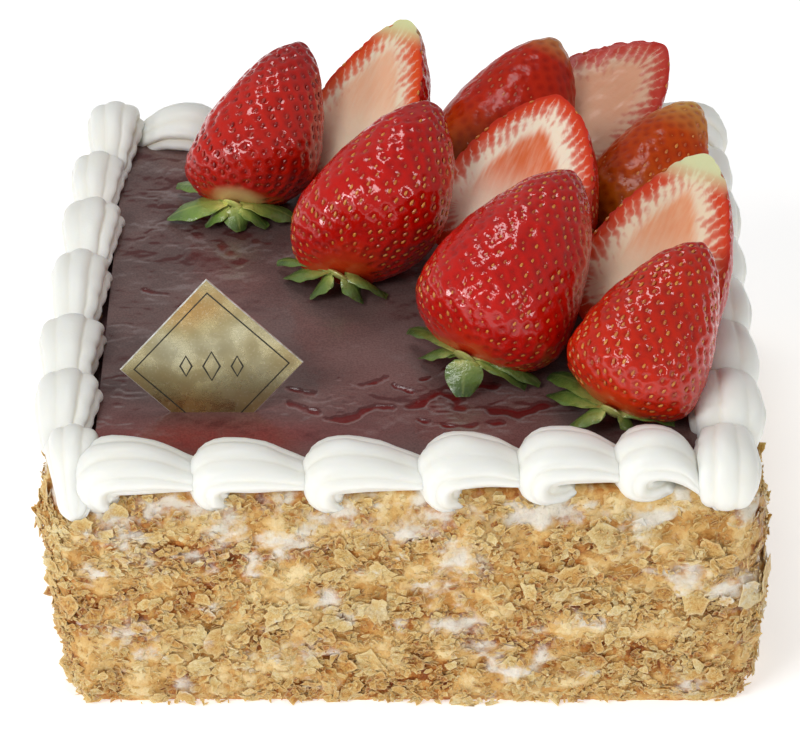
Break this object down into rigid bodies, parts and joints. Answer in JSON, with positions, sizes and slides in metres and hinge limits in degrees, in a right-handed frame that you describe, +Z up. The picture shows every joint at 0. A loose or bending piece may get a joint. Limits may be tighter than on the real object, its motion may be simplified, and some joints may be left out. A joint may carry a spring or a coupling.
{
  "type": "mille feuille cake",
  "caption": "Square mille-feuille cake: flake-coated sides, dark fruit glaze, piped cream border, whole and halved strawberries across one corner and a small gold card.",
  "frame": {"origin": "middle of the flat underside", "axes": "+Z up out of the glazed top, -Y towards the front side that the card faces, +X along the front to the right"},
  "size_m": [0.1566, 0.1554, 0.0915],
  "materials": {
    "flaky_coat": "baked puff-pastry flakes over thin cream, golden tan with toasted edges, matte",
    "fruit_glaze": "dark red-brown berry glaze, wet gloss, softly rippled",
    "whipped_cream": "white whipped cream, soft satin",
    "berry_skin": "strawberry skin with sunken yellow seeds under clear jelly, glossy",
    "berry_flesh": "cut strawberry: pale centre, pink core and red rim, moist",
    "berry_leaf": "fresh green leaf, half gloss, paler midrib",
    "gold_foil": "pale gold foil on card, half gloss with fine grain and a thin dark border line"
  },
  "bodies": {
    "root": {"berry_back_1": "berry_skin", "berry_back_2": "berry_skin", "berry_half_1": "berry_flesh", "berry_half_2": "berry_flesh", "berry_half_3": "berry_flesh", "berry_half_4": "berry_flesh", "berry_whole_1": "berry_skin", "berry_whole_2": "berry_skin", "berry_whole_3": "berry_skin", "berry_whole_4": "berry_skin", "body": "flaky_coat", "card": "gold_foil", "cream_back_1": "whipped_cream", "cream_back_2": "whipped_cream", "cream_back_3": "whipped_cream", "cream_back_4": "whipped_cream", "cream_back_5": "whipped_cream", "cream_back_6": "whipped_cream", "cream_front_1": "whipped_cream", "cream_front_2": "whipped_cream", "cream_front_3": "whipped_cream", "cream_front_4": "whipped_cream", "cream_front_5": "whipped_cream", "cream_front_6": "whipped_cream", "cream_left_1": "whipped_cream", "cream_left_2": "whipped_cream", "cream_left_3": "whipped_cream", "cream_left_4": "whipped_cream", "cream_left_5": "whipped_cream", "cream_left_6": "whipped_cream", "cream_left_7": "whipped_cream", "cream_right_1": "whipped_cream", "cream_right_2": "whipped_cream", "cream_right_3": "whipped_cream", "cream_right_4": "whipped_cream", "cream_right_5": "whipped_cream", "cream_right_6": "whipped_cream", "cream_right_7": "whipped_cream", "glaze": "fruit_glaze", "leaves_1": "berry_leaf", "leaves_2": "berry_leaf", "leaves_3": "berry_leaf", "leaves_4": "berry_leaf"}
  },
  "joints": []
}
